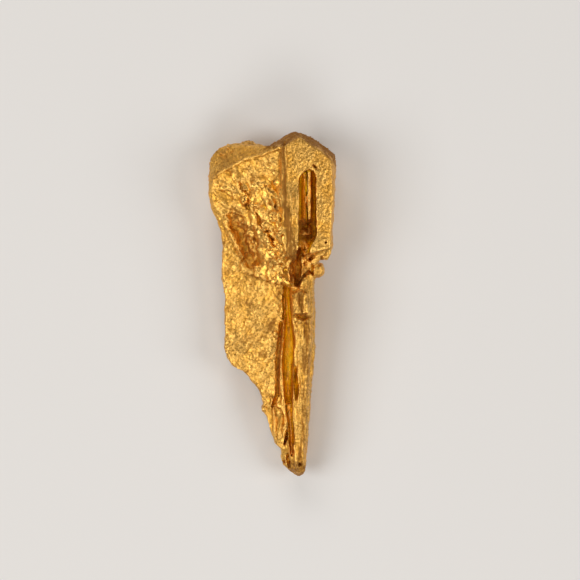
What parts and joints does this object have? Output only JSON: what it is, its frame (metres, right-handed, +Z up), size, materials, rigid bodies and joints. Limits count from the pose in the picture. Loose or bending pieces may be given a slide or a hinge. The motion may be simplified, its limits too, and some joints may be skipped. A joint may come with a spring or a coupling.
{
  "type": "gold nugget",
  "caption": "Native gold nugget with a blocky crystal head, a slotted flat face, a thin leathery blade and a grooved column that tapers to a blunt tip, lying on its back.",
  "frame": {"origin": "middle of the nugget's footprint, on the surface that it rests on", "axes": "+X across the nugget, +Y along it from the tip to the head, +Z up out of its front face"},
  "size_m": [0.0096, 0.026, 0.0059],
  "materials": {
    "gold": "native gold: granular satin metal, brown film on the high edges, bright yellow in the hollows"
  },
  "bodies": {
    "root": {"gold_nugget": "gold"}
  },
  "joints": []
}
